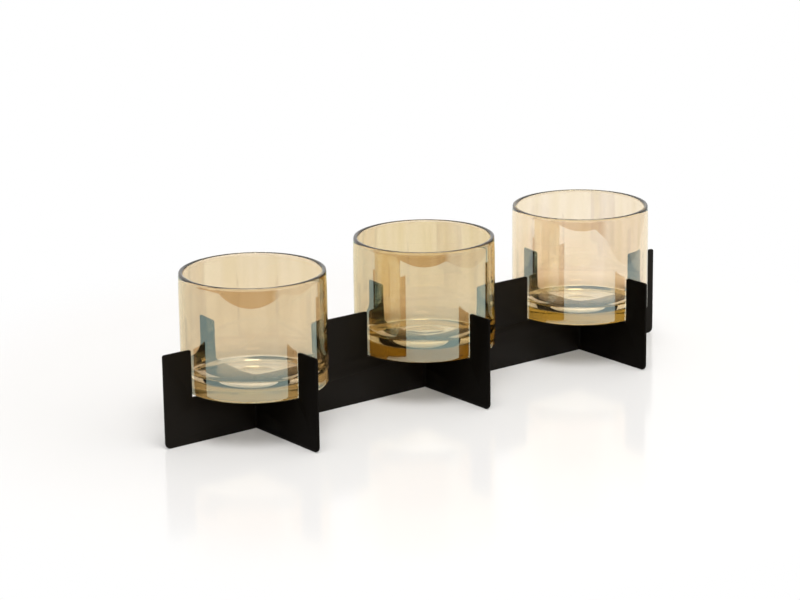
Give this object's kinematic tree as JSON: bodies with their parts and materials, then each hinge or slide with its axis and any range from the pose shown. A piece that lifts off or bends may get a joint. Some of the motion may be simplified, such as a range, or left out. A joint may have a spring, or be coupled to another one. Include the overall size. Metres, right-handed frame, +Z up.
{
  "type": "candle holder",
  "caption": "Low candle holder: loose straight-sided amber glass cups in a row, seated in the notches of a stand of thin black steel plates on edge.",
  "frame": {"origin": "on the floor under the middle of the stand, below the middle cup", "axes": "+X along the row of cups, +Y across it, +Z up"},
  "size_m": [0.44, 0.144, 0.111],
  "materials": {
    "black_coated_steel": "matte black powder coat",
    "black_coated_weld": "matte black powder coat over a fillet weld",
    "amber_lustre_glass": "clear amber glass with a thin lustre"
  },
  "bodies": {
    "stand": {"long_plate": "black_coated_steel", "cross_plate_left": "black_coated_steel", "cross_plate_middle": "black_coated_steel", "cross_plate_right": "black_coated_steel", "weld_beads_left": "black_coated_weld", "weld_beads_middle": "black_coated_weld", "weld_beads_right": "black_coated_weld"},
    "cup_left": {"glass_cup_left": "amber_lustre_glass"},
    "cup_middle": {"glass_cup_middle": "amber_lustre_glass"},
    "cup_right": {"glass_cup_right": "amber_lustre_glass"}
  },
  "joints": [
    {"name": "cup_left_lift", "type": "slide", "parent": "stand", "child": "cup_left", "axis": [0, 0, 1], "range_m": [0, 0.09]},
    {"name": "cup_middle_lift", "type": "slide", "parent": "stand", "child": "cup_middle", "axis": [0, 0, 1], "range_m": [0, 0.09]},
    {"name": "cup_right_lift", "type": "slide", "parent": "stand", "child": "cup_right", "axis": [0, 0, 1], "range_m": [0, 0.09]}
  ]
}
